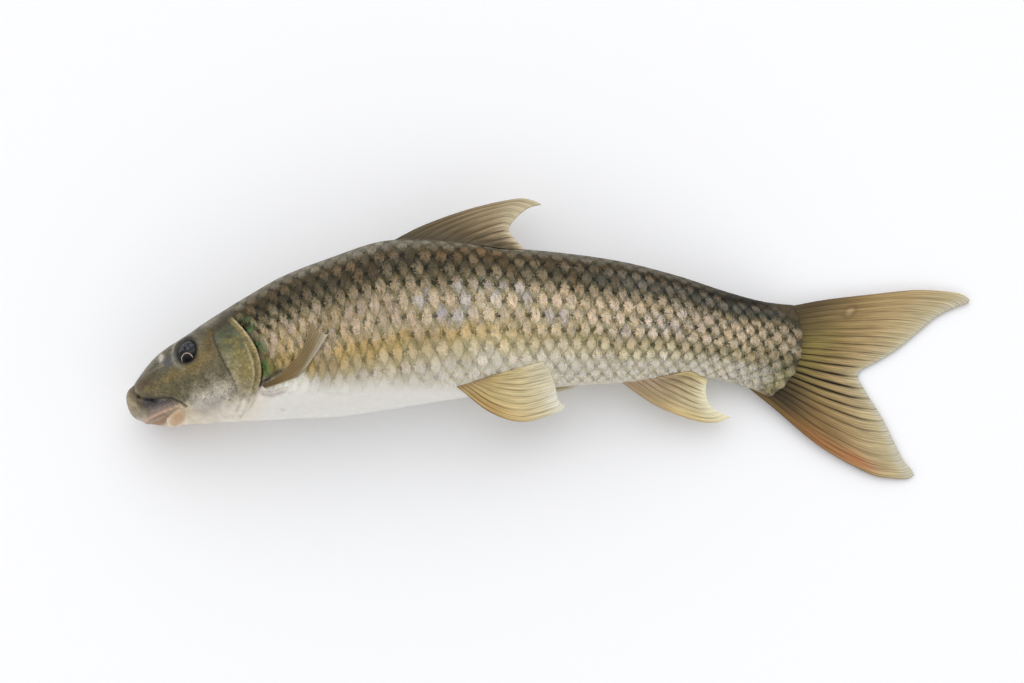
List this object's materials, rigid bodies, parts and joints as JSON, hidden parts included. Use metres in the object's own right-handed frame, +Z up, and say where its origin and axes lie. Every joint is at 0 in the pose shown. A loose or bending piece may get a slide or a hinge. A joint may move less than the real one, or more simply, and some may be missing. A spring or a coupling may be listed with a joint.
{
  "type": "whole raw fish",
  "caption": "Whole raw scaled freshwater fish of the carp order, uncut, lying on its right flank, with forked tail, swept dorsal fin and thick lips.",
  "frame": {"origin": "bottom centre of the bounding box, on the surface that the fish lies on", "axes": "+X from the head to the tail, +Y towards the back, +Z up, out of the left flank"},
  "size_m": [0.4046, 0.1344, 0.0462],
  "materials": {
    "fish_skin": "wet scaled skin: dark olive back, tan and gold flank with dark scale bases, cream belly",
    "fish_fin": "thin olive-yellow fin, bony rays with translucent skin between them, dark lines between the rays",
    "fish_eye": "wet, dark, clear-fronted eye with a thin pale gold ring round the pupil",
    "fish_lip": "soft moist lip flesh, peach and brown-pink"
  },
  "bodies": {
    "root": {"fish": "fish_skin"}
  },
  "joints": []
}
